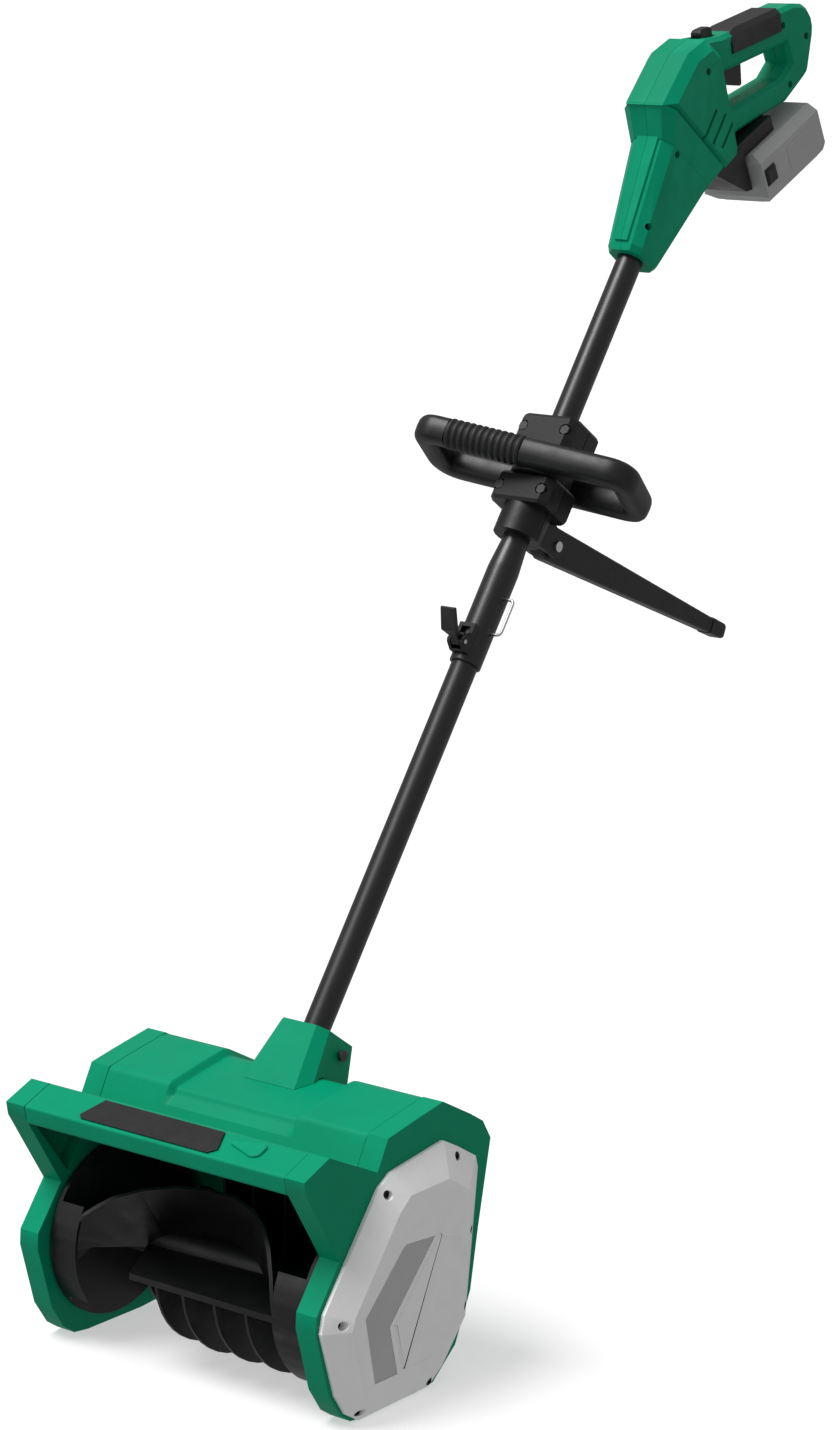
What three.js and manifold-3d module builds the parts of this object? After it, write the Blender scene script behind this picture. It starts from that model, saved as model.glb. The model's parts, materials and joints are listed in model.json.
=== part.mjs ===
// Cordless snow shovel: auger head, two-part tube with an assist handle, and a battery rear handle.
// Millimetres. X runs across the head, -Y is the open front of the auger, +Z is up.
import * as THREE from 'three';
import { ConvexGeometry } from 'three/addons/geometries/ConvexGeometry.js';
import { mergeVertices } from 'three/addons/utils/BufferGeometryUtils.js';
import Module from 'manifold-3d';

const wasm = await Module();
wasm.setup();

// ---- driving dimensions ----
const GAP = 0.3; // clearance between pieces that touch
const RUN = 0.08; // radial running clearance
const INNER = 150; // half the working width
const PLATE = 22; // thickness of a side plate
const OUTER = INNER + PLATE;
const WALL = 3;
const AUGER_Y = 52;
const AUGER_Z = 90;
const AUGER_R = 80;
const TUNNEL_R = AUGER_R + 8;
const SHAFT_R = 6;
const MOTOR_Y = 112;
const MOTOR_Z = 205;
const TUBE_R = 12.5;
const TUBE_WALL = 1.4;
const TUBE_TILT = THREE.MathUtils.degToRad(54.5); // tube's rise above the ground
const TUBE_Y = -34; // where the tube's axis would meet the ground
const FOOTPRINT_MIDDLE = new THREE.Vector3(9, 425.94, 0);

const FINISH = {
  green: { color: 0x008561, roughness: 0.4, metalness: 0 },
  silver: { color: 0xb4b4b4, roughness: 0.45, metalness: 0.1 },
  darkGrey: { color: 0x6e6e6e, roughness: 0.5, metalness: 0 },
  black: { color: 0x161616, roughness: 0.5, metalness: 0 },
  rubber: { color: 0x121212, roughness: 0.8, metalness: 0 },
  blackPaint: { color: 0x0c0c0c, roughness: 0.25, metalness: 0.2 },
  steel: { color: 0xb0b0b0, roughness: 0.35, metalness: 1 },
  darkSteel: { color: 0x3a3a3a, roughness: 0.4, metalness: 1 },
  bronze: { color: 0xa07840, roughness: 0.5, metalness: 1 },
  nylon: { color: 0xd8d4c4, roughness: 0.5, metalness: 0 },
  batteryGrey: { color: 0x6f6f6f, roughness: 0.5, metalness: 0 },
};

// ---- frames: the tool, and the frames nested in it ----
const tool = new THREE.Group();
tool.position.copy(FOOTPRINT_MIDDLE).negate();
const nest = (parent, place) => {
  const frame = new THREE.Group();
  place(frame);
  frame.updateMatrix();
  parent.add(frame);
  return frame;
};
// stick frame: x across, y behind and below the tube's axis, z up along it
const stick = nest(tool, (frame) => {
  frame.position.y = TUBE_Y;
  frame.rotation.x = TUBE_TILT - Math.PI / 2;
});

// ---- solids ----
const toSolid = (shape) => {
  if (!shape.isBufferGeometry) return shape;
  const bare = shape.clone();
  bare.deleteAttribute('normal');
  bare.deleteAttribute('uv');
  const merged = mergeVertices(bare, 1e-4);
  return new wasm.Manifold(new wasm.Mesh({
    numProp: 3,
    vertProperties: merged.attributes.position.array,
    triVerts: Uint32Array.from(merged.index.array),
  }));
};
const join = (...shapes) => shapes.map(toSolid).reduce((all, shape) => all.add(shape));
const cut = (shape, ...tools) => tools.map(toSolid).reduce((left, by) => left.subtract(by), toSolid(shape));
const common = (...shapes) => shapes.map(toSolid).reduce((left, shape) => left.intersect(shape));

const toGeometry = (solid) => {
  const mesh = solid.getMesh();
  const geometry = new THREE.BufferGeometry();
  geometry.setAttribute('position', new THREE.BufferAttribute(new Float32Array(mesh.vertProperties), 3));
  geometry.setIndex(new THREE.BufferAttribute(new Uint32Array(mesh.triVerts), 1));
  return geometry;
};
const TOLERANCE = 0.015; // flat faces closer than this become one
const add = (parent, name, finish, shape) => {
  const geometry = toGeometry(toSolid(shape).asOriginal().simplify(TOLERANCE));
  geometry.computeVertexNormals();
  const node = new THREE.Mesh(geometry, new THREE.MeshStandardMaterial(finish));
  node.name = name;
  parent.add(node);
};

// ---- shapes ----
const box = (x0, x1, y0, y1, z0, z1) => new THREE.BoxGeometry(x1 - x0, y1 - y0, z1 - z0)
  .translate((x0 + x1) / 2, (y0 + y1) / 2, (z0 + z1) / 2);
const rod = (r, x0, x1, y, z, sides = 32) => new THREE.CylinderGeometry(r, r, x1 - x0, sides)
  .rotateZ(-Math.PI / 2).translate((x0 + x1) / 2, y, z);
const barrel = (r, z0, z1, sides = 40, topR = r) => new THREE.CylinderGeometry(topR, r, z1 - z0, sides)
  .rotateX(Math.PI / 2).translate(0, 0, (z0 + z1) / 2);
const tube = (r, z0, z1) => cut(barrel(r, z0, z1), barrel(r - TUBE_WALL, z0 - 1, z1 + 1));

// an outline in (y, z) becomes a solid between two x values
const ACROSS = new THREE.Matrix4().makeBasis(
  new THREE.Vector3(0, 1, 0), new THREE.Vector3(0, 0, 1), new THREE.Vector3(1, 0, 0));
const outline = (points) => new THREE.Shape(points.map(([a, b]) => new THREE.Vector2(a, b)));
const extrude = (points, depth) => new THREE.ExtrudeGeometry(outline(points), { depth, bevelEnabled: false });
const prism = (points, x0, x1) => extrude(points, x1 - x0).applyMatrix4(ACROSS).translate(x0, 0, 0);

// outline moved inwards by a distance, or outwards by a negative one; its corners run anticlockwise
const inset = (points, by) => points.map((corner, i) => {
  const before = points[(i + points.length - 1) % points.length];
  const after = points[(i + 1) % points.length];
  const normalOf = (from, to) => {
    const length = Math.hypot(to[0] - from[0], to[1] - from[1]);
    return [(from[1] - to[1]) / length, (to[0] - from[0]) / length];
  };
  const [p, q] = [normalOf(before, corner), normalOf(corner, after)];
  const k = by / (1 + p[0] * q[0] + p[1] * q[1]);
  return [corner[0] + k * (p[0] + q[0]), corner[1] + k * (p[1] + q[1])];
});
const arc = (r, from, to, steps, cx = 0, cy = 0) => [...Array(steps + 1).keys()].map((i) => {
  const angle = THREE.MathUtils.degToRad(from + (to - from) * i / steps);
  return [cx + r * Math.cos(angle), cy + r * Math.sin(angle)];
});
const atX = (points, x) => points.map(([a, b]) => [x, a, b]);

// convex solid around points and other shapes
const hull = (...items) => {
  const cloud = items.flatMap((item) => {
    if (!item.isBufferGeometry) return item.map((point) => new THREE.Vector3(...point));
    const place = item.attributes.position;
    return [...Array(place.count).keys()].map((i) => new THREE.Vector3().fromBufferAttribute(place, i));
  });
  const unique = cloud.filter((p, i) => cloud.findIndex((q) => q.distanceToSquared(p) < 1e-6) === i);
  return new ConvexGeometry(unique);
};

// octagon of a rectangle with cut corners, at height z
const octagon = (x, y0, y1, corner, z) => [
  [-x + corner, y0, z], [x - corner, y0, z], [x, y0 + corner, z], [x, y1 - corner, z],
  [x - corner, y1, z], [-x + corner, y1, z], [-x, y1 - corner, z], [-x, y0 + corner, z],
];

// disc lying in the (y, z) plane with chamfered rims; a bent bar is a chain of them, given as (z, y, radius)
const disc = ([z, y, r], half, chamfer = 4) => {
  const ring = (radius, x) => atX(arc(radius, 0, 337.5, 15, y, z), x);
  return [...ring(r - chamfer, -half), ...ring(r, -half + chamfer), ...ring(r, half - chamfer),
    ...ring(r - chamfer, half)];
};
const bentBar = (nodes, half, chamfer) =>
  join(...nodes.slice(1).map((node, i) => hull(disc(nodes[i], half, chamfer), disc(node, half, chamfer))));

// screw along +X: round head on a thinner shank, head's top at x
const screw = (x, y, z, headR, shankR, length) =>
  join(rod(headR, x - 2.5, x, y, z, 16), rod(shankR, x - length, x - 2.4, y, z, 8));

// ---- head: side profile shared by the side plates and the shell, anticlockwise in (y, z) ----
const FRONT_RIM = [[-10, 147], [-40, 107], [-41, 93], [-25, 34], [-10, 11], [3, 2], [20, 0]];
const REAR_RIM = [[90, 0], [114, 2], [145, 27], [166, 71], [177, 127], [194, 203], [183, 221], [165, 232]];
const ROOF = [[128, 252], [84, 244], [54, 238], [40, 212], [-22, 241], [-54, 228], [-52, 216]];
const SIDE = [...FRONT_RIM, ...REAR_RIM, ...ROOF];
const RIM = WALL + 1; // width of the plate's raised rim
const CHEEK = [[-10, 147], [40, 195], [40, 260], [-70, 260], [-70, 200]];
const CHEEK_POCKET = [[-44, 213], [-1, 155], [18, 182]];
const COVER_EDGE = [[124, 219], [53, 209], [37, 199], [-34, 108], [-38, 92], [-20, 32], [-7, 12], [9, 2],
  [33, 2], [103, 3], [122, 16], [154, 52], [163, 120], [171, 183], [168, 194], [143, 209]];
const COVER_SCREWS = [[138, 202], [43, 193], [156, 131], [148, 64], [-21, 97], [100, 9], [4, 12]];
const PILOT_R = 1.8 + GAP;
const BUSH_R = 11;

// gear train from motor to auger: pinion -> wheel, pinion on the same pin -> auger gear
const SLOW = { module: 2.5, pinion: 12, wheel: 48, x: [OUTER - 14, OUTER - 5] };
const FAST = { module: 1.5, pinion: 10, wheel: 63, x: [OUTER - 3, OUTER + 2] };
const PIN_R = 3;
const centres = ({ module, pinion, wheel }) => module * (pinion + wheel) / 2;
const span = Math.hypot(MOTOR_Y - AUGER_Y, MOTOR_Z - AUGER_Z);
const along = (span ** 2 + centres(SLOW) ** 2 - centres(FAST) ** 2) / (2 * span);
const aside = Math.sqrt(Math.max(0, centres(SLOW) ** 2 - along ** 2));
const toMotorY = (MOTOR_Y - AUGER_Y) / span;
const toMotorZ = (MOTOR_Z - AUGER_Z) / span;
const IDLER_Y = AUGER_Y + along * toMotorY + aside * toMotorZ;
const IDLER_Z = AUGER_Z + along * toMotorZ - aside * toMotorY;

const sideSpan = (sign, a, b) => (sign > 0 ? [a, b] : [-b, -a]);
const plate = (sign, pocket) => cut(
  prism(SIDE, ...sideSpan(sign, INNER, OUTER)),
  cut(prism(pocket, ...sideSpan(sign, INNER + WALL, OUTER + 1)),
    prism(CHEEK, ...sideSpan(sign, INNER, OUTER + 2))),
  prism(CHEEK_POCKET, ...sideSpan(sign, INNER - 1, INNER + 15)),
  rod(BUSH_R + GAP, ...sideSpan(sign, INNER - 1, INNER + WALL + 1), AUGER_Y, AUGER_Z));

const caseBosses = COVER_SCREWS.map(([y, z]) =>
  common(rod(4.5, INNER + WALL - 0.5, OUTER, y, z, 12), prism(inset(SIDE, 1), INNER, OUTER)));
add(tool, 'gear_case', FINISH.green, cut(
  join(plate(1, inset(COVER_EDGE, WALL)), ...caseBosses,
    rod(7, INNER + WALL - 0.5, SLOW.x[0] - 1, IDLER_Y, IDLER_Z)),
  rod(PIN_R + GAP, INNER - 1, SLOW.x[0], IDLER_Y, IDLER_Z, 24),
  rod(9, INNER - 1, INNER + WALL + 1, MOTOR_Y, MOTOR_Z),
  ...COVER_SCREWS.map(([y, z]) => rod(PILOT_R, OUTER - 12, OUTER + 1, y, z, 8))));
add(tool, 'side_plate_left', FINISH.green, plate(-1, inset(SIDE, RIM)));
add(tool, 'side_cover_left', FINISH.black, cut(
  prism(inset(SIDE, RIM + GAP), -OUTER + 0.5, -OUTER + 3.5),
  prism(inset(CHEEK, -GAP), -OUTER - 1, -INNER)));

// shell between the plates: visor, roof and rear wall round the auger's tunnel, hollow inside
const SHELL = [[-52, 216], [22, 180], [84, 150], [128, 120], [122, 38], [150, 34], ...REAR_RIM.slice(3),
  ...ROOF.slice(0, 6)];
const SHELL_END = INNER - GAP;
const BAND = { x: [-74, 70], depth: 5.5 }; // sunken band across the middle of the roof
const roofBox = box(-200, 200, 50, 200, 205, 260);
const roofSkin = (depth, x0, x1) =>
  common(cut(prism(SIDE, x0, x1), prism(inset(SIDE, depth), x0 - 1, x1 + 1)), roofBox);
const bandCut = roofSkin(BAND.depth, ...BAND.x);
add(tool, 'auger_housing', FINISH.green, cut(
  prism(SHELL, -SHELL_END, SHELL_END),
  rod(TUNNEL_R, -INNER, INNER, AUGER_Y, AUGER_Z, 64),
  cut(prism(inset(SHELL, WALL), -INNER, INNER),
    rod(TUNNEL_R + WALL, -INNER - 1, INNER + 1, AUGER_Y, AUGER_Z, 64),
    roofSkin(BAND.depth + WALL, BAND.x[0] - WALL, BAND.x[1] + WALL)),
  bandCut,
  barrel(TUBE_R + GAP, 270, 340).applyMatrix4(stick.matrix)));
const SCRAPER = [[116, 3], [146, 3], [157, 33], [151, 33.6], [124, 37.4]];
add(tool, 'scraper_bar', FINISH.black, cut(
  prism(SCRAPER, -SHELL_END, SHELL_END), rod(AUGER_R + 2, -INNER, INNER, AUGER_Y, AUGER_Z, 64)));

// blank plaque lying on the front slope of the visor; y runs up the slope from its front edge
const visor = nest(tool, (frame) => {
  frame.position.set(0, -54, 228);
  frame.rotation.x = Math.atan2(13, 32);
});
const PLAQUE = [[-88, 7], [-84, 3], [62, 3], [69, 10], [60, 31], [-78, 31]];
add(visor, 'label_plaque', FINISH.black, extrude(PLAQUE, 1.6).translate(0, 0, GAP));

// ---- drive cover: a raised panel joined to its edge by sloping sides ----
const COVER_PANEL = [[115, 193], [62, 192], [46, 179], [-14, 102], [-17, 91], [-2, 30], [6, 17], [19, 12],
  [96, 26], [123, 55], [134, 63], [144, 175]];
const CHEVRON = [[95, 145], [56, 148], [51, 145], [2, 97], [14, 36], [44, 36], [34, 81]];
const COVER_X = OUTER + GAP;
const COVER_WALL = 3;
const PANEL_X = OUTER + 18;
const INLAY_DEPTH = 1.6;
const coverHull = hull(atX(COVER_EDGE, COVER_X), atX(COVER_EDGE, OUTER + 4), atX(COVER_PANEL, PANEL_X - 2),
  atX(inset(COVER_PANEL, 2.5), PANEL_X));
const innerEdge = inset(COVER_EDGE, COVER_WALL);
const coverHollow = hull(atX(innerEdge, COVER_X - 1), atX(innerEdge, OUTER + 2),
  atX(inset(COVER_PANEL, COVER_WALL + 1), PANEL_X - COVER_WALL - 1.5));
const SCREW_SEAT = OUTER + 4.5;
const coverPosts = COVER_SCREWS.map(([y, z]) => common(rod(5.6, COVER_X, OUTER + 14, y, z, 12), coverHull));
add(tool, 'drive_cover', FINISH.silver, cut(
  join(cut(coverHull, coverHollow), ...coverPosts),
  ...COVER_SCREWS.map(([y, z]) => rod(4.2, SCREW_SEAT, OUTER + 30, y, z, 16)),
  ...COVER_SCREWS.map(([y, z]) => rod(PILOT_R, OUTER, SCREW_SEAT + 1, y, z, 8)),
  prism(CHEVRON, PANEL_X - INLAY_DEPTH, PANEL_X + 2)));
add(tool, 'chevron_inlay', FINISH.darkGrey,
  prism(inset(CHEVRON, GAP), PANEL_X - INLAY_DEPTH + GAP, PANEL_X - 0.4));
COVER_SCREWS.forEach(([y, z], i) =>
  add(tool, `cover_screw_${i + 1}`, FINISH.darkSteel, screw(SCREW_SEAT + GAP + 2.5, y, z, 3.7, 1.8, 15)));

// ---- motor and gears ----
const gear = ({ module }, teeth, phase, x0, x1, y, z) => {
  const pitch = 2 * Math.PI / teeth;
  const pitchR = module * teeth / 2;
  const root = pitchR - 1.15 * module;
  const tip = pitchR + 0.72 * module;
  const tooth = [[-0.31, root], [-0.12, tip], [0.12, tip], [0.31, root]];
  const points = [...Array(teeth).keys()].flatMap((i) => tooth.map(([turn, r]) => {
    const angle = phase + (i + turn) * pitch;
    return [y + r * Math.cos(angle), z + r * Math.sin(angle)];
  }));
  return prism(points, x0, x1);
};
const slowLine = Math.atan2(IDLER_Z - AUGER_Z, IDLER_Y - AUGER_Y);
const fastLine = Math.atan2(MOTOR_Z - IDLER_Z, MOTOR_Y - IDLER_Y);
// a pinion's tooth gap faces its wheel
const pinionPhase = (line, { pinion }) => line + Math.PI + Math.PI / pinion;

add(tool, 'motor', FINISH.steel, cut(
  join(rod(22, INNER - 86, INNER - GAP, MOTOR_Y, MOTOR_Z),
    rod(6, INNER - 92, INNER - 85, MOTOR_Y, MOTOR_Z, 20)),
  rod(2.5 + GAP, INNER - 50, INNER + 1, MOTOR_Y, MOTOR_Z, 20)));
add(tool, 'motor_pinion', FINISH.steel, join(
  gear(FAST, FAST.pinion, pinionPhase(fastLine, FAST), ...FAST.x, MOTOR_Y, MOTOR_Z),
  rod(2.5, INNER - 40, FAST.x[0] + 1, MOTOR_Y, MOTOR_Z, 20)));
add(tool, 'compound_gear', FINISH.nylon, cut(
  join(gear(FAST, FAST.wheel, fastLine, ...FAST.x, IDLER_Y, IDLER_Z),
    gear(SLOW, SLOW.pinion, pinionPhase(slowLine, SLOW), SLOW.x[0], FAST.x[0] + 0.5, IDLER_Y, IDLER_Z)),
  rod(PIN_R + RUN, SLOW.x[0] - 1, FAST.x[1] + 1, IDLER_Y, IDLER_Z, 24)));
add(tool, 'gear_pin', FINISH.steel, join(
  rod(PIN_R, INNER + 1, FAST.x[1] + 2, IDLER_Y, IDLER_Z, 24),
  rod(5, FAST.x[1] + GAP, FAST.x[1] + 2, IDLER_Y, IDLER_Z, 24)));
add(tool, 'auger_gear', FINISH.nylon, cut(
  gear(SLOW, SLOW.wheel, slowLine, ...SLOW.x, AUGER_Y, AUGER_Z),
  rod(SHAFT_R + GAP, SLOW.x[0] - 1, SLOW.x[1] + 1, AUGER_Y, AUGER_Z)));
add(tool, 'auger_shaft', FINISH.steel, rod(SHAFT_R, -INNER - WALL - 8, SLOW.x[1] + 2, AUGER_Y, AUGER_Z));
const bush = (sign) => cut(
  join(rod(BUSH_R, ...sideSpan(sign, INNER - 1.5, INNER + WALL + GAP + 0.5), AUGER_Y, AUGER_Z),
    rod(BUSH_R + 3, ...sideSpan(sign, INNER + WALL + GAP, INNER + WALL + 2), AUGER_Y, AUGER_Z)),
  rod(SHAFT_R + RUN, ...sideSpan(sign, INNER - 3, INNER + WALL + 3), AUGER_Y, AUGER_Z));
add(tool, 'bush_right', FINISH.bronze, bush(1));
add(tool, 'bush_left', FINISH.bronze, bush(-1));

// ---- auger: two scoops, each a floor at axis height with a curved wall up to the outer cylinder ----
const AUGER_END = INNER - 3;
const SKIN = 3.4;
const onCylinder = (x, degrees, r = AUGER_R) => {
  const angle = THREE.MathUtils.degToRad(degrees);
  return [x, -r * Math.cos(angle), r * Math.sin(angle)];
};
// wall's top edge as (x, angle above the front), and its foot as (x, y) on the floor
const WALL_TOP = [[-144, -22], [-140, 0], [-128, 15], [-114, 28], [-92, 42], [-66, 53], [-36, 62], [-4, 67],
  [28, 67], [56, 61], [78, 51], [94, 39], [106, 24], [113, 6]];
const WALL_FOOT = [[-143, -66], [-128, -44], [-108, -26], [-92, -12], [-76, 0], [-60, 8], [-40, 12],
  [-14, 12], [10, 7], [34, -4], [56, -17], [76, -32], [96, -52], [113, -77]];

// closed sheet between two rows of points, with an even thickness
const ribbon = (rowA, rowB, thickness) => {
  const [a, b] = [rowA, rowB].map((row) => row.map((point) => new THREE.Vector3(...point)));
  const corners = a.map((point, i) => {
    const before = a[Math.max(0, i - 1)];
    const after = a[Math.min(a.length - 1, i + 1)];
    const normal = after.clone().sub(before).cross(b[i].clone().sub(point)).setLength(thickness / 2);
    return [point.clone().add(normal), b[i].clone().add(normal), b[i].clone().sub(normal),
      point.clone().sub(normal)];
  });
  const quads = [[0, 3, 2, 1].map((k) => [0, k])];
  corners.slice(1).forEach((_, i) => [0, 1, 2, 3].forEach((k) =>
    quads.push([[i, k], [i, (k + 1) % 4], [i + 1, (k + 1) % 4], [i + 1, k]])));
  quads.push([0, 1, 2, 3].map((k) => [corners.length - 1, k]));
  const index = quads.flatMap((quad) => [0, 2, 1, 0, 3, 2].map((k) => 4 * quad[k][0] + quad[k][1]));
  return new THREE.BufferGeometry().setFromPoints(corners.flat()).setIndex(index);
};
const scoopWall = ribbon(WALL_TOP.map(([x, angle]) => onCylinder(x, angle, AUGER_R + 1)),
  WALL_FOOT.map(([x, y]) => [x, y, -3]), SKIN);
const LIP_Y = -AUGER_R;
const FLOOR = [[-52, LIP_Y], [131, LIP_Y], [131, LIP_Y + 6], ...WALL_FOOT.slice(3).reverse()];
const scoopFloor = extrude(FLOOR, 6).translate(0, 0, -6);
const RIBS = [[-56, 56], [-26, 76], [8, AUGER_R - 1], [44, AUGER_R - 1], [80, AUGER_R - 1]];
const ribs = RIBS.map(([x, r]) => common(rod(r, x, x + 3, 0, 0, 40), box(-200, 200, -90, -14, -90, -1)));
const endSkin = (from, to, x0, x1) =>
  prism([...arc(AUGER_R, from, to, 12), ...arc(AUGER_R - 3, to, from, 12)], x0, x1);
const skinTaper = hull([onCylinder(-112, 40, 90), onCylinder(-112, 40, 60), onCylinder(-144, -45, 90),
  onCylinder(-144, -45, 60), onCylinder(-90, -45, 90), onCylinder(-90, 40, 90), onCylinder(-90, -45, 60)]);
const leftSkin = cut(endSkin(148, 220, -AUGER_END, -AUGER_END + 30), skinTaper);
const rightSkin = endSkin(152, 240, 112, AUGER_END);
const scoop = join(scoopWall, scoopFloor, ...ribs, leftSkin, rightSkin);
const halfTurn = new THREE.Matrix4().makeRotationX(Math.PI);
const endDisk = (x0, x1) => rod(AUGER_R, x0, x1, 0, 0, 40);
const spindle = nest(tool, (frame) => frame.position.set(0, AUGER_Y, AUGER_Z));
add(spindle, 'auger', FINISH.black, cut(
  common(
    join(scoop, toGeometry(scoop).applyMatrix4(halfTurn), endDisk(-AUGER_END, -AUGER_END + 4),
      endDisk(AUGER_END - 4, AUGER_END), rod(15, -AUGER_END, AUGER_END, 0, 0)),
    rod(AUGER_R, -AUGER_END, AUGER_END, 0, 0, 40)),
  rod(SHAFT_R + GAP, -INNER, INNER, 0, 0, 24)));

// ---- neck on the roof and the two tubes ----
const NECK_TOP = 336;
const NECK_BOLT = { z: 322, y: 6.6, r: 2.5 }; // passes behind the lead in the tube
const toStick = stick.matrix.clone().invert();
add(stick, 'neck_socket', FINISH.green, cut(
  hull(octagon(42, -34, 46, 11, 262), octagon(28, -25, 31, 9, NECK_TOP)),
  prism(inset(SIDE, -GAP), -80, BAND.x[0]).applyMatrix4(toStick),
  prism(inset(SIDE, BAND.depth - GAP), -90, 90).applyMatrix4(toStick),
  barrel(TUBE_R + GAP, 250, 350),
  rod(NECK_BOLT.r + GAP, -60, 60, NECK_BOLT.y, NECK_BOLT.z, 16)));
add(stick, 'neck_bolt', FINISH.darkSteel, join(
  rod(NECK_BOLT.r, -29, 33.1, NECK_BOLT.y, NECK_BOLT.z, 16), rod(5, 33, 36, NECK_BOLT.y, NECK_BOLT.z, 20)));

const SOCKET = { start: 702, swage: 800, end: 830, r: 15 };
const LOCK_Z = 722;
const WIRE_FEET = [736, 772];
// tall enough for the lever's nose to swing out
const noseHole = box(-4, 4, -20, -5, LOCK_Z - 5, LOCK_Z + 10);
add(stick, 'lower_tube', FINISH.blackPaint, cut(
  tube(TUBE_R, 276, 792), rod(NECK_BOLT.r + GAP, -30, 30, NECK_BOLT.y, NECK_BOLT.z, 16), noseHole));
add(stick, 'upper_tube', FINISH.blackPaint, cut(
  join(barrel(SOCKET.r, SOCKET.start, SOCKET.swage + 0.01),
    barrel(SOCKET.r, SOCKET.swage, SOCKET.end, 40, TUBE_R),
    barrel(TUBE_R, SOCKET.end - 0.01, 1248)),
  barrel(TUBE_R + GAP, SOCKET.start - 1, SOCKET.swage),
  barrel(TUBE_R + GAP, SOCKET.swage - 0.01, SOCKET.end, 40, TUBE_R - TUBE_WALL),
  barrel(TUBE_R - TUBE_WALL, SOCKET.end - 1, 1260),
  noseHole,
  ...WIRE_FEET.map((z) => rod(1.5 + GAP, 5, 30, 0, z, 12))));
add(stick, 'power_lead', FINISH.black, barrel(3, 281, 1244, 12));

// locking lever on the front of the socket, with a nose that drops through both tubes
const LEVER = { y: -23, z: LOCK_Z - 6, pinR: 2 };
const bracketEar = (x0, x1) =>
  hull(box(x0, x1, -18, -16, LOCK_Z - 14, LOCK_Z + 6), rod(4.5, x0, x1, LEVER.y, LEVER.z, 16));
const leverHole = rod(LEVER.pinR + RUN, -10, 10, LEVER.y, LEVER.z, 16);
add(stick, 'lever_bracket', FINISH.black, cut(
  join(cut(box(-9, 9, -19, 0, LOCK_Z - 14, LOCK_Z + 15), barrel(SOCKET.r + GAP, 690, 760)),
    bracketEar(-9, -5.4), bracketEar(5.4, 9)),
  box(-4.9, 4.9, -30, 0, LOCK_Z - 12, LOCK_Z + 11),
  leverHole));
const leverBars = [[3.6, 4.6, -25, -4], [2.6, 4.6, -32, -3], [2.6, 8, -40, -2], [1.8, 8, -52, 12]]
  .map(([r, half, y, z]) => rod(r, -half, half, y, LOCK_Z + z, 16));
add(stick, 'lock_lever', FINISH.black, cut(
  join(rod(4.2, -4.6, 4.6, LEVER.y, LEVER.z, 20),
    ...leverBars.slice(1).map((bar, i) => hull(leverBars[i], bar)),
    box(-3, 3, -22, -11, LOCK_Z - 4, LOCK_Z + 3)),
  leverHole));
add(stick, 'lever_pin', FINISH.steel, rod(LEVER.pinR, -9.5, 9.5, LEVER.y, LEVER.z, 16));

const wirePath = new THREE.CurvePath();
const WIRE = [[14.5, 736], [22.5, 736], [25.5, 739], [25.5, 769], [22.5, 772], [14.5, 772]]
  .map(([x, z]) => new THREE.Vector3(x, 0, z));
WIRE.slice(1).forEach((point, i) => wirePath.add(new THREE.LineCurve3(WIRE[i], point)));
add(stick, 'wire_clip', FINISH.steel, new THREE.ExtrudeGeometry(outline(arc(1.5, 0, 315, 7)),
  { steps: 30, extrudePath: wirePath, bevelEnabled: false }));

// ---- assist handle: split clamp, loop turning on the clamp's waist, ribbed grip, prop leg ----
const LOOP_Z = 905;
const LOOP_HALF = 13; // half the loop bar's height
const WAIST_R = 21;
const CLAMP_TOP = 952;
const flange = (z0, z1) => hull(octagon(31, -23, 23, 7, z0), octagon(33, -25, 25, 7, z0 + 3),
  octagon(33, -25, 25, 7, z1 - 3), octagon(31, -23, 23, 7, z1));
const LEG = { z: 850, y: 43, tipZ: 914, tipY: 342, pinR: 3, half: 8 };
const legEar = (x0, x1) =>
  hull(box(x0, x1, 17, 22, LEG.z - 12, LEG.z + 18), rod(11, x0, x1, LEG.y, LEG.z, 20));
const legHole = rod(LEG.pinR + RUN, -20, 20, LEG.y, LEG.z, 24);
const clampBody = cut(
  join(flange(LOOP_Z + LOOP_HALF + 1, CLAMP_TOP), flange(862, LOOP_Z - LOOP_HALF - 1),
    barrel(WAIST_R, 880, 930), barrel(23, 834, 870),
    legEar(LEG.half + 0.6, 14), legEar(-14, -LEG.half - 0.6)),
  barrel(TUBE_R + GAP, 800, 1000));
const CLAMP_BOLTS = [[-24, 938], [24, 938], [-24, 876], [24, 876]];
const alongY = (r, y0, y1, x, z, sides = 16) =>
  new THREE.CylinderGeometry(r, r, y1 - y0, sides).translate(x, (y0 + y1) / 2, z);
const boltHoles = join(...CLAMP_BOLTS.map(([x, z]) =>
  join(alongY(3 + GAP, -30, 30, x, z), alongY(5.6, -30, -20, x, z))));
add(stick, 'clamp_front', FINISH.black,
  cut(common(clampBody, box(-60, 60, -60, -0.4, 800, 1000)), boltHoles));
add(stick, 'clamp_rear', FINISH.black,
  cut(common(clampBody, box(-60, 60, 0.4, 80, 800, 1000)), boltHoles, legHole));
CLAMP_BOLTS.forEach(([x, z], i) => add(stick, `clamp_bolt_${i + 1}`, FINISH.darkSteel,
  join(alongY(5, -24.5, -20 - GAP, x, z, 6), alongY(3, -20.5, 24, x, z))));
add(stick, 'prop_leg', FINISH.black, cut(
  hull(disc([LEG.z + 2, LEG.y, 17], LEG.half, 1.5), disc([LEG.tipZ, LEG.tipY, 7], LEG.half, 1.5)), legHole));
add(stick, 'leg_pin', FINISH.steel, join(
  rod(LEG.pinR, -15, 15.5, LEG.y, LEG.z, 24), rod(5, 14.3, 16.5, LEG.y, LEG.z, 20)));

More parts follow.
